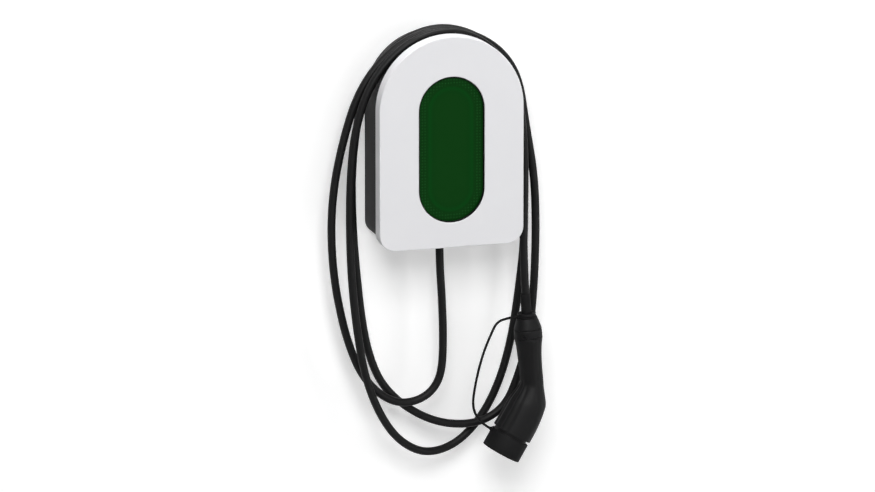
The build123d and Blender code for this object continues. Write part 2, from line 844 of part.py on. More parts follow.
def handle_nut():
    """Bellied nut between the collar and the handle."""
    widest = (nut_radius, -(bell_end + nut_end) / 2)
    outer = ThreePointArc((bell_base_radius, -bell_end), widest, (nut_radius - 0.2, -nut_end))
    inner = Polyline(
        (nut_radius - 0.2, -nut_end), (nut_radius - 0.2 - shell_wall, -nut_end),
        (bell_base_radius - shell_wall, -bell_end), (bell_base_radius, -bell_end),
    )
    nut = revolve(Plane.XZ * make_face(outer + inner), Axis.Z)
    for sign in (-1, 1):
        nut -= screw_axis(sign) * Pos(0, 0, nut_radius - shell_wall - 2) * Cylinder(
            handle_screw_radius + 0.7, 8, align=STANDING
        )
    return nut


def lead_clamp():
    """Ring inside the nut that grips the lead's end, with bosses for the handle screws."""
    outer = bell_base_radius - shell_wall - fit_gap
    ring = turned([
        (lead_bore, -bell_end - 1), (outer, -bell_end - 1),
        (outer, -lead_end + 1), (lead_bore, -lead_end + 1),
    ])
    for sign in (-1, 1):
        hole = Cylinder(handle_screw_radius - 0.6, 20, align=STANDING)
        ring -= screw_axis(sign) * Pos(0, 0, outer - 8) * hole
    return ring


def handle_screws():
    """The two screws that join the handle's nut and clamp."""
    seat = bell_base_radius - shell_wall - fit_gap
    head = Cylinder(handle_screw_radius + 0.4, 1.8, align=STANDING)
    head -= Pos(0, 0, 0.8) * extrude(RegularPolygon(1.2, 6), 1.2)
    shank = Cylinder(handle_screw_radius - 0.65, 7, align=HANGING)
    screws = [screw_axis(sign) * Pos(0, 0, seat) * (head + shank) for sign in (-1, 1)]
    return Compound(children=screws)


def grip_sections(shrink):
    """Ovals that the handle's shell passes through, for the grip and for the head beyond its bend."""
    grip = [
        (0.0, -nut_end, 0.0, nut_radius - 0.2, nut_radius - 0.2), (-0.2, -54.0, 0.0, 19.9, 19.7),
        (-0.4, -68.0, 0.0, 18.9, 18.7), (-0.4, -82.0, 0.0, 18.3, 18.1),
        (-0.2, -98.0, 0.0, 18.1, 18.0), (-0.1, -113.0, 15.5, 18.7, 18.6),
        (-1.6, -122.3, 21.2, 21.4, 21.0), (-4.2, -132.0, 25.6, 25.6, 24.4),
    ]
    head = [grip[-1], (-6.6, -138.1, 26.0, 28.0, 26.6), (-10.2, -144.3, 26.5, 29.6, 28.6)]
    front = [
        (28.0, -0.5, 30.8, 30.3), (44.0, 0.1, 31.6, 31.4), (56.0, 0.2, 31.8, 31.8),
        (head_length, 0.0, head_front_radius, head_front_radius),
    ]
    ovals = [[], []]
    for part, made in ((grip, ovals[0]), (head, ovals[1])):
        for x, z, tilt, wide, deep in part:
            made.append(Pos(x, 0, z) * Rot(0, tilt, 0) * Ellipse(wide - shrink, deep - shrink))
    for along, shift, wide, deep in front:
        place = nose_location(along) * Pos(shift, 0, 0) * Rot(180, 0, 0)
        ovals[1].append(place * Ellipse(wide - shrink, deep - shrink))
    return ovals


def handle_form(shrink):
    """Solid form of the bent handle: the grip and the head meet in a soft corner."""
    grip, head = grip_sections(shrink)
    return loft(grip) + loft(head)


def grip_shell():
    """Bent hollow handle with flutes along the side of its head that the fingers hold."""
    shell = handle_form(0) - handle_form(shell_wall)
    seat = nose_location(head_length - nose_seat) * Cylinder(
        nose_radius + fit_gap, nose_seat + 1, align=STANDING
    )
    shell -= seat
    reach = flute_radius - flute_depth
    bend, bend_radius = flute_bend
    for angle, radius in flutes:
        points = ((flute_start, radius), (bend, bend_radius), (head_length + 6, head_front_radius))
        for turn in {180 - angle, 180 + angle}:
            stops = [Vector(far + reach, 0, along) for along, far in points]
            for low, high in zip(stops, stops[1:]):
                rod_plane = Plane(origin=low, z_dir=high - low)
                cutter = rod_plane * Cylinder(flute_radius, (high - low).length, align=STANDING)
                cutter += Pos(*low) * Sphere(flute_radius)
                shell -= nose_location(0) * Rot(0, 0, turn) * cutter
    return shell


def nose_profile(radius, flat):
    """Round nose with a flat along its outer side."""
    side = Rectangle(4 * radius, 4 * radius, align=(Align.MAX, Align.CENTER))
    return Circle(radius) & Pos(flat, 0) * side


def contact_places():
    """Power and signal contacts on the nose's face, the flat side towards +x."""
    power = [(0, -16), (0, 0), (0, 16), (-13.9, -8), (-13.9, 8)]
    signal = [(11.5, -6.5), (11.5, 6.5)]
    return power, signal


def nose_end():
    """How far the nose reaches beyond the bend."""
    return head_length + nose_gap + cap_length - cap_end_wall - touch_gap


def contact_nose():
    """Nose with a flat on one side and a bore for each contact."""
    low = head_length - nose_seat
    solid = nose_location(low) * extrude(nose_profile(nose_radius, nose_flat), nose_end() - low)
    power, signal = contact_places()
    for places, bore, sleeve in ((power, power_bore, power_sleeve), (signal, signal_bore, signal_sleeve)):
        for x, y in places:
            depth = nose_end() - contact_inset - low
            wide = Cylinder(sleeve + bore_gap, depth, align=STANDING)
            narrow = Cylinder(bore, contact_inset + 1, align=STANDING)
            solid -= nose_location(low) * Pos(x, y, 0) * wide
            solid -= nose_location(nose_end() - contact_inset - 0.5) * Pos(x, y, 0) * narrow
    return solid


def contacts(places, bore, sleeve):
    """Tubular contacts in the nose."""
    front = nose_end() - contact_inset
    tubes = []
    for x, y in places:
        tube_body = Cylinder(sleeve, contact_length, align=HANGING)
        hole = Cylinder(bore - 0.2, contact_length * 0.7, align=HANGING)
        tubes.append(nose_location(front) * Pos(x, y, 0) * (tube_body - hole))
    return Compound(children=tubes)


def connector_cores():
    """Wires from the lead's end through the handle to the backs of the power contacts."""
    back = nose_end() - contact_inset - contact_length
    wires = []
    for (x, y), (end_x, end_y) in zip(core_places(), sorted(contact_places()[0])):
        entry = nose_location(head_length - nose_seat - 8) * Pos(end_x, end_y, 0)
        end = nose_location(back) * Pos(end_x, end_y, 0)
        route = [(x, y, -lead_end), (x, y, 12 - grip_length)]
        route += [tuple(place.position) for place in (entry, end)]
        wires.append(tube(route, core_radius)[0])
    return Compound(children=wires)


def protective_cap():
    """Cap over the nose, with the lug that holds the tether."""
    start = head_length + nose_gap
    outer_radius = nose_radius + touch_gap + cap_wall
    cup = Cylinder(outer_radius, cap_length, align=STANDING)
    cup = fillet(cup.edges().filter_by(GeomType.CIRCLE).sort_by(Axis.Z)[-1], 1.5)
    hollow = nose_profile(nose_radius + touch_gap, nose_flat + touch_gap)
    cavity = extrude(hollow, cap_length - cap_end_wall)
    cup = cup - cavity
    lug = Box(lug_height + 1, lug_width, lug_length, align=(Align.MAX, Align.CENTER, Align.CENTER))
    lug = Pos(-outer_radius + 1, 0, 1 + lug_length / 2) * lug
    lug = fillet(lug.edges().filter_by(Axis.X), 1.5)
    return nose_location(start) * (cup + lug)


def held(shape):
    """A piece moved with the hand connector."""
    return grip_place() * shape


pieces = {
    "wall_bracket": wall_bracket(),
    "rear_casing": rear_casing(),
    "casing_gasket": casing_gasket(),
    "inner_cover": inner_cover(),
    "inner_cover_screws": inner_cover_screws(),
    "front_cover": front_cover(),
    "cover_screws": cover_screws(),
    "lock_screw": lock_screw(),
    "window_lens": window_lens(),
    "light_guide": light_guide(),
    "led_board": led_board(),
    "status_leds": status_leds(),
    "power_board": power_board(),
    "board_screws": board_screws(),
    "supply_terminals": terminal_block(-terminal_x),
    "output_terminals": terminal_block(terminal_x),
    "terminal_screws": terminal_screws(),
    "relays": relays(),
    "current_sensor": current_sensor(),
    "power_supply": power_supply(),
    "capacitors": capacitors(),
    "board_spacers": board_spacers(),
    "control_board": control_board(),
    "radio_module": radio_module(),
    "supply_grommet": supply_grommet(),
    "gland_body": gland_body(),
    "gland_seal": gland_seal(),
    "gland_nut": gland_nut(),
    "gland_locknut": gland_locknut(),
    "lead_cores": lead_cores(),
    "charge_lead": charge_lead(),
    "strain_sleeve": held(strain_sleeve()),
    "connector_collar": held(connector_collar()),
    "tether_ring": tether_ring(),
    "handle_nut": held(handle_nut()),
    "lead_clamp": held(lead_clamp()),
    "handle_screws": held(handle_screws()),
    "grip_shell": held(grip_shell()),
    "contact_nose": held(contact_nose()),
    "power_contacts": held(contacts(contact_places()[0], power_bore, power_sleeve)),
    "signal_contacts": held(contacts(contact_places()[1], signal_bore, signal_sleeve)),
    "connector_cores": held(connector_cores()),
    "protective_cap": held(protective_cap()),
    "cap_tether": cap_tether(),
}

os.makedirs("parts", exist_ok=True)
for name, shape in pieces.items():
    export_step(shape, "parts/" + name + ".step")
print(len(pieces), "pieces")
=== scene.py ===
# %% [markdown]
# # A wall charger with its lead hung over the casing
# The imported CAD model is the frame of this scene. It fixes every size and every place, in metres,
# with the wall at Y = 0, the charger in front of it towards -Y and +Z up. Blender adds what a
# solid model leaves out: real finishes, fine edges, a lead that hangs on a smooth curve, and light.

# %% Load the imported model
import math

import bmesh
import bpy
from mathutils import Matrix, Vector


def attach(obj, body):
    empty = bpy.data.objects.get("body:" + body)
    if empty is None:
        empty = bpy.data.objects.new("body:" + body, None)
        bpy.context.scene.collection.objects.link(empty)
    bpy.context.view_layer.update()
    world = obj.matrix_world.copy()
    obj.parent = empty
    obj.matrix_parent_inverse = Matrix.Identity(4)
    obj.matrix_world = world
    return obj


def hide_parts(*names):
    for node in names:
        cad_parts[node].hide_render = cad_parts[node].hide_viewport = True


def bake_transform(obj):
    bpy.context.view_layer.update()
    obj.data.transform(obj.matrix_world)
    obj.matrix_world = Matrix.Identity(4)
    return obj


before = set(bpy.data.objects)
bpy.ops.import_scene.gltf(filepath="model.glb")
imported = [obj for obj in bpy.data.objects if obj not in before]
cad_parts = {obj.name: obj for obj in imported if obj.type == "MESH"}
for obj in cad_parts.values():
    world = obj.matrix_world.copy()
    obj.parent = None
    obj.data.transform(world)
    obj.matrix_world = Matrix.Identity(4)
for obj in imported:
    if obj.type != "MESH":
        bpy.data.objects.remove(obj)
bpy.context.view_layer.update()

# %% [markdown]
# ## Camera
# The picture was taken from a long way off with a long lens, a little to the left of the charger
# and above it. The camera stands 12.6 m away, turned 17 degrees to the side and tilted 14 down.

# %% Place the camera
MM = 0.001
TURN, TILT = math.radians(16.76), math.radians(14.03)
looking = Vector((math.sin(TURN) * math.cos(TILT), math.cos(TURN) * math.cos(TILT), -math.sin(TILT)))
AIM = Vector((-23.08, -118.0, -161.22)) * MM
DISTANCE, FOCAL_LENGTH = 12.5855, 338.03
camera_data = bpy.data.cameras.new("long_lens")
camera_data.lens = FOCAL_LENGTH
camera_data.sensor_width = 36.0
camera_data.clip_end = 60.0
camera = bpy.data.objects.new("long_lens", camera_data)
camera.location = AIM - DISTANCE * looking
camera.rotation_mode = "QUATERNION"
camera.rotation_quaternion = looking.to_track_quat("-Z", "Y")
bpy.context.scene.collection.objects.link(camera)
bpy.context.scene.camera = camera
print("camera at", [round(v, 3) for v in camera.location])

# %% [markdown]
# ## Small tools for the materials
# Colours are written as the hex values that one picks from a screen. Blender's shaders work in
# linear light, so one function turns them over. Another adds a node with its settings and links.

# %% Colour and node helpers
def screen(code, alpha=1.0):
    """A hex colour as linear red, green, blue and alpha."""
    values = [int(code[place:place + 2], 16) / 255 for place in (1, 3, 5)]
    return tuple(v / 12.92 if v <= 0.04045 else ((v + 0.055) / 1.055) ** 2.4 for v in values) + (alpha,)


def add(tree, kind, settings=None, links=None):
    """Adds a node, gives it its settings and joins sockets to its inputs."""
    made = tree.nodes.new(kind)
    for name, value in (settings or {}).items():
        if isinstance(name, str) and hasattr(made, name):
            setattr(made, name, value)
        else:
            made.inputs[name].default_value = value
    for name, socket in (links or {}).items():
        tree.links.new(socket, made.inputs[name])
    return made


def start(name, colour, **settings):
    """A new material with its shader and object coordinates."""
    material = bpy.data.materials.new(name)
    material.use_nodes = True
    material.diffuse_color = screen(colour)
    shader = material.node_tree.nodes["Principled BSDF"]
    shader.inputs["Base Color"].default_value = screen(colour)
    for socket, value in settings.items():
        shader.inputs[socket].default_value = value
    place = add(material.node_tree, "ShaderNodeTexCoord")
    return material, material.node_tree, shader, place.outputs["Object"]


# %% [markdown]
# ## Moulded plastics
# Most of the charger is injection-moulded. The steel mould is etched with a fine grain, which the
# plastic copies, and the colour drifts by a shade where the melt ran thicker. The real grain is
# about 0.2 mm. It is drawn at 0.6 mm and more, because anything finer would be lost in the picture.

# %% Moulded plastic
def moulded(name, light, dark, grain, height, gloss=(0.38, 0.5), drift=60.0, **settings):
    """Grain and height in mm, light and dark shade of the colour, gloss as lowest and highest roughness."""
    material, tree, shader, where = start(name, light, **settings)
    patches = add(tree, "ShaderNodeTexNoise", {"Scale": 1000 / drift, "Detail": 3.0}, {"Vector": where})
    tone = add(tree, "ShaderNodeMix", {"data_type": "RGBA", 6: screen(dark), 7: screen(light)},
               {0: patches.outputs["Fac"]})
    tree.links.new(tone.outputs[2], shader.inputs["Base Color"])
    etched = add(tree, "ShaderNodeTexNoise", {"Scale": 1000 / grain, "Detail": 2.0}, {"Vector": where})
    rough = add(tree, "ShaderNodeMapRange", {"To Min": gloss[0], "To Max": gloss[1]},
                {"Value": patches.outputs["Fac"]})
    tree.links.new(rough.outputs["Result"], shader.inputs["Roughness"])
    relief = add(tree, "ShaderNodeBump", {"Strength": 1.0, "Distance": height * MM},
                 {"Height": etched.outputs["Fac"]})
    tree.links.new(relief.outputs["Normal"], shader.inputs["Normal"])
    return material


# Etched dark plastic and rubber mirror less than a polished face of the same plastic would.
dull = {"Specular IOR Level": 0.22}
white_shell = moulded("white_polycarbonate_shell", "#EAEAEC", "#E6E6E9", 1.2, 0.012, (0.34, 0.42))
grey_case = moulded("graphite_polycarbonate_case", "#3A3A3B", "#343435", 1.0, 0.04, (0.55, 0.65), **dull)
black_grip = moulded("black_nylon_handle", "#161617", "#121213", 0.8, 0.03, (0.5, 0.58), drift=25.0, **dull)
soft_black = moulded("black_soft_rubber", "#131314", "#0F0F10", 0.7, 0.03, (0.62, 0.74), drift=20.0, **dull)
gland_black = moulded("black_nylon_gland", "#1C1C1D", "#171718", 0.8, 0.03, (0.45, 0.55), drift=15.0, **dull)
nose_black = moulded("black_glass_filled_nose", "#161617", "#111112", 0.8, 0.02, (0.35, 0.45), drift=15.0,
                     **dull)
light_grey = moulded("light_grey_terminal_plastic", "#9FA1A5", "#94969A", 0.8, 0.03, (0.45, 0.6), drift=20.0)
part_black = moulded("black_epoxy_part", "#1E1E20", "#17171A", 0.9, 0.03, (0.4, 0.55), drift=12.0)
clear_ring = moulded("frosted_acrylic_ring", "#DDE6DE", "#D2DDD4", 0.9, 0.02, (0.35, 0.45), IOR=1.49)
core_colour = moulded("grey_wire_insulation", "#5A5A5F", "#4A4A50", 0.7, 0.02, (0.4, 0.5), drift=15.0)
edge_print = moulded("black_edge_print", "#0B0B0C", "#070708", 0.9, 0.01, (0.4, 0.5), drift=20.0, **dull)
print("moulded plastics made")

# %% [markdown]
# ## The green window
# The window is a dark green sheet. Behind its rim a ring of small light cells shows through as a
# band of faint marks, and the sheet looks a little greener inside that band. The marks stand in
# straight rows, 4.6 mm apart, and only the band they show in follows the oval. The oval is a
# straight line grown by a radius, so the distance from that line gives bands of even width all
# round. That distance is worked out in the material from the position.

# %% Window material
WINDOW_Z, WINDOW_HALF_LINE, WINDOW_RADIUS = -11.5 * MM, 62.0 * MM, 52.5 * MM
MARK_PITCH = 4.6


def window_sheet():
    """Dark green sheet with bands that follow the oval and faint marks in the outer band."""
    material, tree, shader, where = start("dark_green_polycarbonate_sheet", "#05370B",
                                          **{"Roughness": 0.35, "Specular IOR Level": 0.08})
    axis = add(tree, "ShaderNodeSeparateXYZ", links={"Vector": where})
    height = add(tree, "ShaderNodeMath", {"operation": "SUBTRACT", 1: WINDOW_Z}, {0: axis.outputs["Z"]})
    size = add(tree, "ShaderNodeMath", {"operation": "ABSOLUTE"}, {0: height.outputs[0]})
    past = add(tree, "ShaderNodeMath", {"operation": "SUBTRACT", 1: WINDOW_HALF_LINE}, {0: size.outputs[0]})
    past = add(tree, "ShaderNodeMath", {"operation": "MAXIMUM", 1: 0.0}, {0: past.outputs[0]})
    flat = add(tree, "ShaderNodeCombineXYZ", links={"X": axis.outputs["X"], "Y": past.outputs[0]})
    reach = add(tree, "ShaderNodeVectorMath", {"operation": "LENGTH"}, {0: flat.outputs[0]})
    inset = add(tree, "ShaderNodeMath", {"operation": "SUBTRACT", 0: WINDOW_RADIUS},
                {1: reach.outputs["Value"]})
    plane = add(tree, "ShaderNodeCombineXYZ", links={"X": axis.outputs["X"], "Y": axis.outputs["Z"]})
    cells = add(tree, "ShaderNodeTexVoronoi",
                {"voronoi_dimensions": "2D", "Scale": 1000 / MARK_PITCH, "Randomness": 0.15},
                {"Vector": plane.outputs[0]})
    mark = add(tree, "ShaderNodeMapRange", {"From Min": 0.14, "From Max": 0.36, "To Min": 1.0, "To Max": 0.0},
               {"Value": cells.outputs["Distance"]})
    share = add(tree, "ShaderNodeMapRange", {"From Max": 30 * MM}, {"Value": inset.outputs[0]})
    band = add(tree, "ShaderNodeValToRGB", links={0: share.outputs["Result"]})
    ramp = band.color_ramp
    ramp.elements[0].position, ramp.elements[0].color = 0.0, screen("#02280A")
    ramp.elements[1].position, ramp.elements[1].color = 1.0, screen("#063B0C")
    for place, colour in ((0.05, "#043509"), (0.5, "#05370B"), (0.62, "#00400D"), (0.8, "#043A0B")):
        ramp.elements.new(place).color = screen(colour)
    zone = add(tree, "ShaderNodeMapRange",
               {"From Min": 11 * MM, "From Max": 15 * MM, "To Min": 1.0, "To Max": 0.0},
               {"Value": inset.outputs[0]})
    rim = add(tree, "ShaderNodeMapRange", {"From Min": 3 * MM, "From Max": 5 * MM},
              {"Value": inset.outputs[0]})
    inside = add(tree, "ShaderNodeMath", {"operation": "MULTIPLY"},
                 {0: zone.outputs["Result"], 1: rim.outputs["Result"]})
    shown = add(tree, "ShaderNodeMath", {"operation": "MULTIPLY"},
                {0: inside.outputs[0], 1: mark.outputs["Result"]})
    faint = add(tree, "ShaderNodeMath", {"operation": "MULTIPLY", 1: 0.38}, {0: shown.outputs[0]})
    mixed = add(tree, "ShaderNodeMix", {"data_type": "RGBA", 7: screen("#22612C")},
                {0: faint.outputs[0], 6: band.outputs["Color"]})
    tree.links.new(mixed.outputs[2], shader.inputs["Base Color"])
    return material


green_sheet = window_sheet()

# %% [markdown]
# ## Metals, boards and the lead's sheath
# Screws and contacts are plated, and catch the light in fine turned or drawn lines. The sheath is
# extruded rubber with a dull shine, and long faint streaks left by the die. Its pattern follows the
# cable, so it reads the curve's own UV map, where U runs along the cable.

# %% Metals, boards and sheath
def plated(name, colour, roughness, line):
    """Plated metal with fine lines, line in mm."""
    material, tree, shader, where = start(name, colour, Metallic=1.0, Roughness=roughness)
    lines = add(tree, "ShaderNodeTexNoise", {"Scale": 1000 / line, "Detail": 2.0, "Distortion": 0.3},
                {"Vector": where})
    rough = add(tree, "ShaderNodeMapRange", {"To Min": roughness - 0.08, "To Max": roughness + 0.12},
                {"Value": lines.outputs["Fac"]})
    tree.links.new(rough.outputs["Result"], shader.inputs["Roughness"])
    return material


def board_lacquer():
    """Green solder lacquer over copper tracks."""
    material, tree, shader, where = start("green_board_lacquer", "#1E5A2E", Roughness=0.35)
    tracks = add(tree, "ShaderNodeTexVoronoi", {"Scale": 1000 / 6.0, "distance": "MANHATTAN"},
                 {"Vector": where})
    edge = add(tree, "ShaderNodeMapRange", {"From Min": 0.3, "From Max": 0.36},
               {"Value": tracks.outputs["Distance"]})
    tone = add(tree, "ShaderNodeMix", {"data_type": "RGBA", 6: screen("#1A4F29"), 7: screen("#2A6E3A")},
               {0: edge.outputs["Result"]})
    tree.links.new(tone.outputs[2], shader.inputs["Base Color"])
    return material


def lead_sheath():
    """Extruded black rubber: streaks along the lead and a slow drift in gloss."""
    material, tree, shader, where = start("black_rubber_sheath", "#161617", Roughness=0.5, **dull)
    along = add(tree, "ShaderNodeUVMap")
    stretched = add(tree, "ShaderNodeMapping", {"Scale": (30.0, 14.0, 1.0)},
                    {"Vector": along.outputs["UV"]})
    streaks = add(tree, "ShaderNodeTexNoise", {"Scale": 1.0, "Detail": 4.0},
                  {"Vector": stretched.outputs["Vector"]})
    tone = add(tree, "ShaderNodeMix", {"data_type": "RGBA", 6: screen("#121213"), 7: screen("#191919")},
               {0: streaks.outputs["Fac"]})
    tree.links.new(tone.outputs[2], shader.inputs["Base Color"])
    rough = add(tree, "ShaderNodeMapRange", {"To Min": 0.38, "To Max": 0.54},
                {"Value": streaks.outputs["Fac"]})
    tree.links.new(rough.outputs["Result"], shader.inputs["Roughness"])
    grain = add(tree, "ShaderNodeTexNoise", {"Scale": 1000 / 0.9, "Detail": 2.0}, {"Vector": where})
    relief = add(tree, "ShaderNodeBump", {"Distance": 0.03 * MM}, {"Height": grain.outputs["Fac"]})
    tree.links.new(relief.outputs["Normal"], shader.inputs["Normal"])
    return material


screw_steel = plated("zinc_plated_steel", "#B9BABB", 0.34, 0.8)
black_screw = plated("black_oxide_steel", "#1C1C1E", 0.45, 0.8)
contact_silver = plated("silver_plated_brass", "#D8C58E", 0.26, 0.7)
can_metal = plated("drawn_aluminium_can", "#C9CACC", 0.3, 1.0)
bracket_steel = moulded("black_powder_coated_steel", "#3A3A3C", "#333335", 0.8, 0.05, (0.45, 0.6))
board_green = board_lacquer()
sheath = lead_sheath()
print("finishes made", len(bpy.data.materials))

# %% [markdown]
# ## Finishes on the CAD pieces
# Pieces whose CAD shape is already right keep it, and only get a finish. Each node's own material
# slots are filled.

# %% Dress the CAD nodes
finish = {
    "wall_bracket": bracket_steel, "rear_casing": grey_case, "casing_gasket": soft_black,
    "inner_cover": grey_case, "inner_cover_screws": screw_steel, "cover_screws": screw_steel,
    "lock_screw": screw_steel, "light_guide": clear_ring, "led_board": board_green,
    "status_leds": clear_ring, "power_board": board_green, "board_screws": screw_steel,
    "supply_terminals": light_grey, "output_terminals": light_grey, "terminal_screws": screw_steel,
    "relays": part_black, "current_sensor": part_black, "power_supply": part_black,
    "capacitors": can_metal, "board_spacers": contact_silver, "control_board": board_green,
    "radio_module": can_metal, "supply_grommet": soft_black, "gland_body": gland_black,
    "gland_seal": soft_black, "gland_nut": gland_black, "gland_locknut": gland_black,
    "lead_cores": core_colour, "connector_cores": core_colour, "lead_clamp": part_black,
    "handle_screws": black_screw, "contact_nose": nose_black, "power_contacts": contact_silver,
    "signal_contacts": contact_silver, "front_cover": white_shell, "window_lens": green_sheet,
    "strain_sleeve": soft_black, "connector_collar": black_grip, "tether_ring": soft_black,
    "handle_nut": black_grip, "grip_shell": black_grip, "protective_cap": soft_black,
    "charge_lead": sheath, "cap_tether": soft_black,
}
for node, material in finish.items():
    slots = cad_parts[node].data.materials
    if len(slots) == 0:
        slots.append(material)
    for number in range(len(slots)):
        slots[number] = material
print("dressed", len(finish), "nodes")

# %% [markdown]
# ## Tools for new pieces
# A new piece starts as a bmesh in millimetres. One function moves it to its place, gives it a
# finish, makes it ride on a body and lets it stand for its CAD node. Another spins an outline of
# radius and height into a turned shape, as a lathe would.

# %% Mesh helpers
def piece(name, mesh, material, place=Matrix(), body="unit", stands_for=(), smooth=35.0):
    """Makes an object of a bmesh that is drawn in mm, with its place in its mesh."""
    bmesh.ops.remove_doubles(mesh, verts=mesh.verts, dist=1e-4)
    bmesh.ops.recalc_face_normals(mesh, faces=mesh.faces)
    bmesh.ops.transform(mesh, matrix=Matrix.Scale(MM, 4) @ place, verts=mesh.verts)
    data = bpy.data.meshes.new(name)
    mesh.to_mesh(data)
    mesh.free()
    data.materials.append(material)
    data.shade_smooth()
    data.set_sharp_from_angle(angle=math.radians(smooth))
    made = bpy.data.objects.new(name, data)
    bpy.context.scene.collection.objects.link(made)
    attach(made, body)
    if stands_for:
        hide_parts(*stands_for)
    print(name, len(data.polygons), "faces")
    return made


def turned(outline, steps=96):
    """A bmesh spun about Z from a closed outline of radius and height."""
    mesh = bmesh.new()
    points = [mesh.verts.new((radius, 0, height)) for radius, height in outline]
    for pair in zip(points, points[1:] + points[:1]):
        mesh.edges.new(pair)
    bmesh.ops.spin(mesh, geom=mesh.verts[:] + mesh.edges[:], axis=(0, 0, 1), cent=(0, 0, 0),
                   angle=math.tau, steps=steps, use_merge=True, use_duplicate=False)
    return mesh


# %% [markdown]
# ## The lead
# The lead is 12.5 mm thick and 4.7 m long. It drops out of its gland, turns up on the left and
# goes over the casing three times before it reaches the connector. One smooth NURBS curve carries
# it, whose control points are the same as the CAD route's, so it hangs where the solids say.

# %% Lay the lead
LEAD_ROUTE = [
    (0, -51, -150), (0, -51, -200), (4.5, -51, -266), (6.5, -51, -334), (3.5, -51, -382),
    (-10, -51, -408), (-34, -51, -423), (-66, -51, -425), (-97, -51, -408), (-122, -50, -379),
    (-139, -50, -344), (-156, -51, -290), (-172, -53, -205), (-175, -55, -108), (-161, -57, -18),
    (-131, -59, 80), (-78, -59, 140), (-20, -59, 165), (38, -59, 160), (91, -58, 132),
    (125, -58, 85), (137, -57, 6), (152, -56, -78), (155, -54, -166), (153.5, -50, -252),
    (147, -46, -336), (128.5, -44, -402), (109.5, -43.5, -443.5), (76, -43, -465.5),
    (36, -42, -469.5), (-6, -40, -460.5), (-44, -36, -440), (-78, -33, -410), (-100, -31, -373),
    (-116, -30, -314), (-126, -31, -232), (-134, -34, -146), (-137, -38, -60), (-130, -42, 20),
    (-112, -44, 93), (-64, -45, 147), (-4, -45, 167.5), (54, -45, 154), (98, -45, 118),
    (118, -44, 66), (134, -42, -14), (141, -39, -100), (142, -35, -186), (134, -31, -266),
    (124, -28, -340), (104, -27, -412), (72, -27.5, -469), (30, -31, -505), (-20, -41, -512),
    (-65, -54, -485.5), (-98, -63, -441), (-124.5, -68, -376), (-138, -71, -300),
    (-147, -73, -222), (-150, -73, -140), (-149, -73, -58), (-141, -73, 22), (-116, -73, 93),
    (-65, -73, 147), (-4, -73, 167.5), (55, -73, 153), (98, -74, 112), (123, -75, 48),
    (130.5, -78, -55), (123.64, -84, -198.58), (133.75, -84, -324.18),
]
TETHER_ROUTE = [
    (113.62, -84, -292.19), (103.4, -84.4, -292.4), (82.5, -87, -296.3), (72.2, -88, -315),
    (57.4, -88, -350.6), (46.4, -87, -396.7), (42.4, -86, -433.8), (59.4, -84.3, -459.3),
    (72.58, -84, -467.08),
]


def hung(name, route, radius, detail, sides):
    """A NURBS curve of order 3 through the run of a route in mm."""
    data = bpy.data.curves.new(name, "CURVE")
    data.dimensions = "3D"
    line = data.splines.new("NURBS")
    line.points.add(len(route) - 1)
    for point, place in zip(line.points, route):
        point.co = (place[0] * MM, place[1] * MM, place[2] * MM, 1.0)
    line.order_u = 3
    line.use_endpoint_u = True
    data.resolution_u = detail
    data.bevel_depth = radius * MM
    data.bevel_resolution = sides
    data.use_fill_caps = True
    made = bpy.data.objects.new(name, data)
    bpy.context.scene.collection.objects.link(made)
    return made


def line_of(route):
    """The points of a route's smooth line, read from a curve with no thickness."""
    bare = hung("bare_line", route, 0, 8, 0)
    bpy.context.view_layer.update()
    mesh = bpy.data.meshes.new_from_object(bare)
    points = [vertex.co.copy() for vertex in mesh.vertices]
    bpy.data.objects.remove(bare)
    return points


charging_lead = hung("charging_lead", LEAD_ROUTE, 6.25, 10, 8)
charging_lead.data.materials.append(sheath)
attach(charging_lead, "unit")
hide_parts("charge_lead")
lead_line = line_of(LEAD_ROUTE)
print("lead's length", round(sum((b - a).length for a, b in zip(lead_line, lead_line[1:])), 3), "m")

# %% [markdown]
# ## The cap's tether
# A thin rubber strap keeps the cap on the connector. It is a round tube along its own NURBS line,
# made a mesh.

# %% Lay the tether
tether_line = line_of(TETHER_ROUTE)
tether_curve = hung("tether_curve", TETHER_ROUTE, 2.0, 10, 5)
bpy.context.view_layer.update()
tether_mesh = bpy.data.meshes.new_from_object(tether_curve)
bpy.data.objects.remove(tether_curve)
tether_mesh.materials.clear()
tether_mesh.materials.append(soft_black)
tether_mesh.shade_smooth()
cap_strap = bpy.data.objects.new("cap_strap", tether_mesh)
bpy.context.scene.collection.objects.link(cap_strap)
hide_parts("cap_tether")
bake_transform(cap_strap)
print("tether's length", round(sum((b - a).length for a, b in zip(tether_line, tether_line[1:])), 3), "m")

# %% [markdown]
# ## The hand connector's handle
# The handle is a bent oval tube. Its outline is given by ovals from the nut to the nose, which are
# the CAD's. A smooth run between them gives many close rings, and the rings are bridged. Five soft
# flutes for the fingers grow out of the bend, and a faint ridge, where the two halves of the mould
# met, runs down the front and fades on the head.

# %% Handle
GRIP = Matrix.Translation((130.7, -84.0, -286.3)) @ Matrix.Rotation(math.radians(-4.6), 4, "Y")
NOSE = (Matrix.Translation((0, 0, -133.0)) @ Matrix.Rotation(math.radians(35.0), 4, "Y")
        @ Matrix.Rotation(math.pi, 4, "X"))


def on_nose(along, shift, wide, deep):
    """An oval across the nose's axis, as place, tilt and half sizes in the grip's frame."""
    middle = NOSE @ Vector((shift, 0, along))
    return (middle.x, middle.z, 35.0, wide, deep)


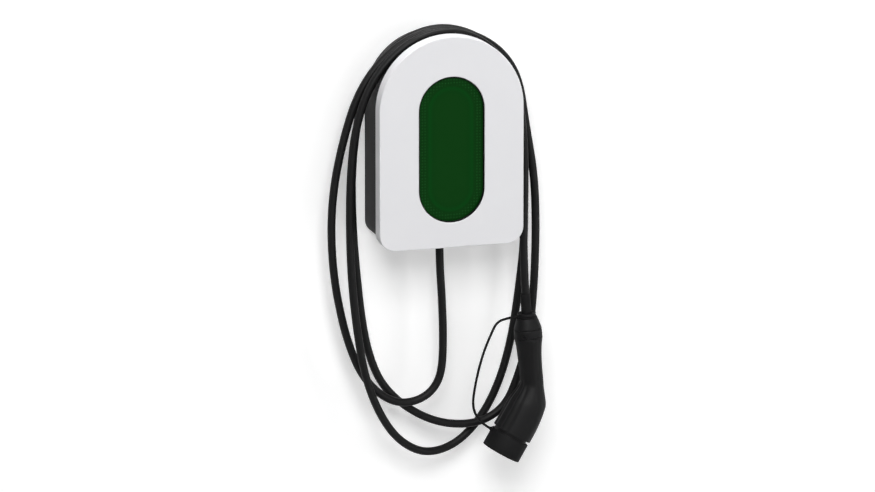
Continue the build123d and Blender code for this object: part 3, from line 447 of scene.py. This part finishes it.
# Place across and down, tilt in degrees, half width and half depth, all in the grip's frame.
OVALS = [
    (0.0, -38.8, 0.0, 21.9, 21.9), (0.0, -41.0, 0.0, 21.8, 21.8),
    (-0.2, -54.0, 0.0, 19.9, 19.7), (-0.4, -68.0, 0.0, 18.9, 18.7),
    (-0.4, -82.0, 0.0, 18.3, 18.1), (-0.2, -98.0, 0.0, 18.1, 18.0), (-0.1, -113.0, 15.5, 18.7, 18.6),
    (-1.6, -122.3, 21.2, 21.4, 21.0), (-4.2, -132.0, 25.6, 25.6, 24.4), (-6.6, -138.1, 26.0, 28.0, 26.6),
    (-10.2, -144.3, 26.5, 29.6, 28.6), on_nose(28.0, -0.5, 30.8, 30.3), on_nose(44.0, 0.1, 31.6, 31.4),
    on_nose(56.0, 0.2, 31.8, 31.8), on_nose(67.1, 0.0, 32.0, 32.0),
]


def smooth_run(rows, steps):
    """Rows of numbers with smooth rows between them, where each pair of rows gets as many steps."""
    ends = [rows[0]] + rows + [rows[-1]]
    made = []
    for before, low, high, after in zip(ends, ends[1:], ends[2:], ends[3:]):
        for step in range(steps):
            t = step / steps
            made.append(tuple(
                0.5 * (2 * b + (c - a) * t + (2 * a - 5 * b + 4 * c - d) * t * t
                       + (3 * b - a - 3 * c + d) * t ** 3)
                for a, b, c, d in zip(before, low, high, after)))
    return made + [rows[-1]]


def fade(value, low, high):
    """Rises smoothly from 0 at low to 1 at high."""
    t = min(max((value - low) / (high - low), 0.0), 1.0)
    return t * t * (3 - 2 * t)


def hump(distance, reach):
    """A smooth hump of height 1 that is over at a distance."""
    return math.cos(0.5 * math.pi * distance / reach) ** 2 if abs(distance) < reach else 0.0


# Each flute's angle in degrees from the inner side of the bend, where it starts along the handle
# from 0 to 1, and its depth in mm. The reaches are in degrees and the ridge's height is in mm.
FLUTES = ((0.0, 0.36, 1.7), (24.5, 0.36, 1.7), (50.0, 0.34, 1.0))
FLUTE_REACH, RIDGE_HEIGHT, RIDGE_REACH = 12.0, 1.9, 30.0


def handle_ring(mesh, oval, along):
    """One ring of the handle, with its share of the flutes and the ridge, along from 0 to 1."""
    x, z, tilt, wide, deep = oval
    place = Matrix.Translation((x, 0, z)) @ Matrix.Rotation(math.radians(tilt), 4, "Y")
    ring = bmesh.ops.create_circle(mesh, segments=160, radius=1.0)["verts"]
    for vertex in ring:
        turn = math.degrees(math.atan2(abs(vertex.co.y), -vertex.co.x))
        flute = max(depth * hump(turn - angle, FLUTE_REACH) * fade(along, begin, begin + 0.2)
                    for angle, begin, depth in FLUTES)
        line = 90.0 + 22.0 * fade(along, 0.5, 0.9)
        lasting = (1 - fade(along, 0.62, 0.84)) * fade(along, 0.02, 0.12)
        ridge = max(0.0, 1 - abs(turn - line) / RIDGE_REACH) * lasting
        swell = 1 + (RIDGE_HEIGHT * ridge - flute) / wide
        vertex.co = place @ Vector((vertex.co.x * wide * swell, vertex.co.y * deep * swell, 0))
    return list({edge for vertex in ring for edge in vertex.link_edges})


handle = bmesh.new()
run = smooth_run(OVALS, 9)
loops = [handle_ring(handle, oval, number / (len(run) - 1)) for number, oval in enumerate(run)]
for along, radius in ((67.5, 31.6), (67.5, 28.3), (52.0, 28.3)):
    loops.append(handle_ring(handle, on_nose(along, 0.0, radius, radius), 0.0 if radius < 31 else 1.0))
for pair in zip(loops, loops[1:]):
    bmesh.ops.bridge_loops(handle, edges=pair[0] + pair[1])
bmesh.ops.holes_fill(handle, edges=loops[0] + loops[-1], sides=400)
piece("handle_shell", handle, black_grip, GRIP, stands_for=["grip_shell"], smooth=40.0)

# %% [markdown]
# ## Collar, ring and nut
# Above the handle sit a bellied nut, a bell that narrows to a lip, and a rubber ring in the groove
# under the lip. They are turned shapes, so each is one outline, spun round the grip's axis. Small
# roundings where two pieces meet leave the fine dark seams that the eye reads as separate parts.

# %% Turned pieces of the connector
collar = turned([
    (8.4, -0.4), (13.7, 0.0), (14.15, -0.15), (14.3, -0.6), (14.3, -4.0), (14.1, -4.4), (13.0, -4.5),
    (13.0, -7.1), (15.3, -7.1), (15.8, -7.3), (16.1, -7.9), (17.1, -10.6), (18.3, -14.0), (19.4, -17.5),
    (20.3, -20.4), (21.0, -22.6), (21.3, -23.8), (21.2, -24.3), (20.4, -24.7), (19.0, -24.7), (15.5, -14.0),
    (8.4, -12.0),
])
piece("connector_bell", collar, black_grip, GRIP, stands_for=["connector_collar"])

ring = turned([(13.2, -4.75), (14.2, -4.75), (14.8, -5.1), (15.0, -5.8), (14.8, -6.5), (14.2, -6.85),
               (13.2, -6.85)])
stub_place = Matrix.Translation((-15.9, 0, -4.6)) @ Matrix.Rotation(math.radians(90), 4, "Y")
bmesh.ops.create_cone(ring, cap_ends=True, segments=32, radius1=2.2, radius2=2.2, depth=3.0,
                      matrix=stub_place)
piece("strap_ring", ring, soft_black, GRIP, stands_for=["tether_ring"])

sleeve = turned([(6.3, 31.0), (7.3, 31.0), (7.6, 30.8), (7.7, 30.4), (7.75, 28.0), (8.0, 8.0), (8.1, 0.5),
                 (8.1, -2.0), (6.3, -2.0)])
piece("lead_sleeve", sleeve, soft_black, GRIP, stands_for=["strain_sleeve"])

nut = turned([(19.0, -24.7), (20.4, -24.7), (21.2, -25.1), (21.5, -25.7), (21.8, -28.5), (22.0, -32.0),
              (21.95, -35.5), (21.85, -37.6), (21.6, -38.3), (20.9, -38.7), (19.0, -38.7)])
nut = piece("coupling_nut", nut, black_grip, GRIP, stands_for=["handle_nut"])


def pierced(thing, holes, place):
    """Cuts round holes in a piece, each given as a turn about the axis, a height and a radius in mm."""
    tool = bmesh.new()
    for turn, height, radius in holes:
        way = Matrix.Rotation(math.radians(turn), 4, "Z") @ Matrix.Translation((22.0, 0, height))
        bmesh.ops.create_cone(tool, cap_ends=True, segments=40, radius1=radius, radius2=radius, depth=10.0,
                              matrix=way @ Matrix.Rotation(math.radians(90), 4, "Y"))
    bmesh.ops.transform(tool, matrix=Matrix.Scale(MM, 4) @ place, verts=tool.verts)
    data = bpy.data.meshes.new("hole_cutter")
    tool.to_mesh(data)
    tool.free()
    cutter = bpy.data.objects.new("hole_cutter", data)
    bpy.context.scene.collection.objects.link(cutter)
    cut = thing.modifiers.new("holes", "BOOLEAN")
    cut.operation, cut.solver, cut.object = "DIFFERENCE", "EXACT", cutter
    bpy.context.view_layer.update()
    done = bpy.data.meshes.new_from_object(thing.evaluated_get(bpy.context.evaluated_depsgraph_get()))
    thing.modifiers.clear()
    thing.data = done
    bpy.data.objects.remove(cutter)


pierced(nut, [(120, -33.5, 2.9), (240, -33.5, 2.9)], GRIP)

# %% [markdown]
# ## The pull-off cap
# The cap is a short rubber cup with a rounded end, and a lug near its mouth that the strap is tied
# to. It rides on its own body, because it pulls off along the nose.

# %% Cap
cup = turned([(28.15, 72.6), (28.4, 72.4), (30.8, 72.4), (31.15, 72.5), (31.3, 72.9), (31.3, 101.3),
              (31.1, 102.1), (30.6, 102.65), (29.8, 102.9), (0.0, 102.9), (0.0, 100.4), (28.15, 100.4)],
             steps=144)
lug_place = Matrix.Translation((-32.8, 0, 76.4)) @ Matrix.Diagonal((4.0, 7.0, 6.0, 1))
lug = bmesh.ops.create_cube(cup, size=1.0, matrix=lug_place)
lug_edges = list({edge for vertex in lug["verts"] for edge in vertex.link_edges})
bmesh.ops.bevel(cup, geom=lug_edges, offset=0.7, segments=3, profile=0.5, affect="EDGES", material=-1)
piece("pull_off_cap", cup, soft_black, GRIP @ NOSE, body="cap", stands_for=["protective_cap"])

# %% [markdown]
# ## The window sheet
# The sheet is a green oval set back in a low black frame, which lines the opening in the cover. From
# the left the far side of that frame shows as a fine black line at the right and at the bottom.

# %% Window
def oval_ring(mesh, radius, depth):
    """The window's oval at a radius, as a loop of edges at a depth in front of the wall."""
    upright = Matrix.Translation((0, -depth, 0)) @ Matrix.Rotation(math.pi / 2, 4, "X")
    made = bmesh.ops.create_circle(mesh, segments=128, radius=radius, matrix=upright)
    for vertex in made["verts"]:
        vertex.co.z += (62.0 if vertex.co.z > 0 else -62.0) - 11.5
    return list({edge for vertex in made["verts"] for edge in vertex.link_edges})


sheet = bmesh.new()
steps = ((56.4, 112.0), (56.4, 115.0), (52.44, 115.0), (52.44, 117.0), (52.3, 117.2), (51.2, 117.2),
         (51.0, 117.0), (51.0, 112.5))
rings = [oval_ring(sheet, radius, depth) for radius, depth in steps]
for pair in zip(rings, rings[1:]):
    bmesh.ops.bridge_loops(sheet, edges=pair[0] + pair[1])
bmesh.ops.holes_fill(sheet, edges=rings[-1] + rings[0], sides=400)
window = piece("window_sheet", sheet, green_sheet, stands_for=["window_lens"], smooth=50.0)
window.data.materials.append(edge_print)
for face in window.data.polygons:
    face.material_index = 0 if len(face.vertices) > 4 else 1
print("black edge faces", sum(face.material_index for face in window.data.polygons))

# %% [markdown]
# ## Stage and light
# The charger hangs on a white wall. The wall catches a soft shadow from one large lamp high in
# front, a dim one on the right draws the handle's right side, and sky light fills the rest. Seen
# from behind, the wall is clear. A slot in it, which the casing hides from the front, lets a lamp
# behind the wall light the back.

# %% Wall, floor and lamps
def seen_from_front(name, glow, mirrored):
    """Matt white paint, a little brighter and whiter for the camera, and clear from behind.
    Mirrored paint is as bright in reflections."""
    material = bpy.data.materials.new(name)
    material.use_nodes = True
    tree = material.node_tree
    tree.nodes.clear()
    path = add(tree, "ShaderNodeLightPath")
    gloss = add(tree, "ShaderNodeMath", {"operation": "MULTIPLY", 1: mirrored},
                {0: path.outputs["Is Glossy Ray"]})
    seen = add(tree, "ShaderNodeMath", {"operation": "MAXIMUM"},
               {0: path.outputs["Is Camera Ray"], 1: gloss.outputs[0]})
    tone = add(tree, "ShaderNodeMix", {"data_type": "RGBA", 6: screen("#BEBEBE"), 7: screen("#F6F6F6")},
               {0: seen.outputs[0]})
    paint = add(tree, "ShaderNodeBsdfDiffuse", links={"Color": tone.outputs[2]})
    strength = add(tree, "ShaderNodeMath", {"operation": "MULTIPLY", 1: glow},
                   {0: path.outputs["Is Camera Ray"]})
    shine = add(tree, "ShaderNodeEmission", {"Color": (1, 1, 1, 1)}, {"Strength": strength.outputs[0]})
    both = add(tree, "ShaderNodeAddShader", links={0: paint.outputs[0], 1: shine.outputs[0]})
    clear = add(tree, "ShaderNodeBsdfTransparent")
    side = add(tree, "ShaderNodeNewGeometry")
    out = add(tree, "ShaderNodeMixShader",
              links={0: side.outputs["Backfacing"], 1: both.outputs[0], 2: clear.outputs[0]})
    add(tree, "ShaderNodeOutputMaterial", links={"Surface": out.outputs[0]})
    return material


def backdrop(name, middle, turn, material, opening=None):
    """A large flat screen. An opening is the radius and the straight length of a slot in it."""
    mesh = bmesh.new()
    outer = bmesh.ops.create_circle(mesh, segments=64, radius=7.0)["verts"]
    if opening:
        inner = bmesh.ops.create_circle(mesh, segments=64, radius=opening[0])["verts"]
        for vertex in inner:
            vertex.co.y -= opening[1] if vertex.co.y < 0 else 0.0
        bmesh.ops.bridge_loops(mesh, edges=mesh.edges[:])
    else:
        mesh.faces.new(outer)
    bmesh.ops.transform(mesh, matrix=Matrix.Translation(middle) @ turn, verts=mesh.verts)
    bmesh.ops.recalc_face_normals(mesh, faces=mesh.faces)
    if sum((face.normal for face in mesh.faces), Vector()).dot(turn @ Vector((0, 0, 1))) < 0:
        bmesh.ops.reverse_faces(mesh, faces=mesh.faces)
    data = bpy.data.meshes.new(name)
    mesh.to_mesh(data)
    mesh.free()
    data.materials.append(material)
    made = bpy.data.objects.new(name, data)
    bpy.context.scene.collection.objects.link(made)


WALL_GAP, WALL_GLOW, SKY_LEVEL = 0.0005, 0.28, 0.24
backdrop("studio_wall", (0, WALL_GAP, 0), Matrix.Rotation(math.radians(90), 4, "X"),
         seen_from_front("white_wall_paint", WALL_GLOW, 1.0), opening=(0.085, 0.055))
backdrop("studio_floor", (0, -4.99, -0.85), Matrix(), seen_from_front("white_floor_paint", WALL_GLOW, 0.0))


def softbox(name, place, aim, size, power):
    """A rectangular lamp, its size as width and height in metres."""
    lamp = bpy.data.lights.new(name, "AREA")
    lamp.shape = "RECTANGLE"
    lamp.size, lamp.size_y = size
    lamp.energy = power
    made = bpy.data.objects.new(name, lamp)
    made.location = place
    made.rotation_mode = "QUATERNION"
    made.rotation_quaternion = (Vector(aim) - Vector(place)).to_track_quat("-Z", "Y")
    bpy.context.scene.collection.objects.link(made)


softbox("key_high", (-0.75, -2.7, 1.7), (0, 0, -0.15), (1.5, 1.5), 62.0)
softbox("front_fill", (0.6, -4.5, 0.4), (0, 0, -0.15), (2.5, 2.5), 10.0)
softbox("top_strip", (0.0, -0.16, 1.5), (0, -0.1, 0), (0.7, 0.1), 12.0)
softbox("right_strip", (1.7, -1.6, -0.35), (0.1, -0.08, -0.35), (0.7, 1.6), 11.0)
softbox("back_fill", (0.7, 2.4, 0.6), (0, 0, 0), (1.5, 1.5), 40.0)
world = bpy.data.worlds.new("studio_sky")
world.use_nodes = True
bpy.context.scene.world = world
world.node_tree.nodes["Background"].inputs["Color"].default_value = (1, 1, 1, 1)
world.node_tree.nodes["Background"].inputs["Strength"].default_value = SKY_LEVEL
bpy.context.scene.view_settings.view_transform = "Standard"
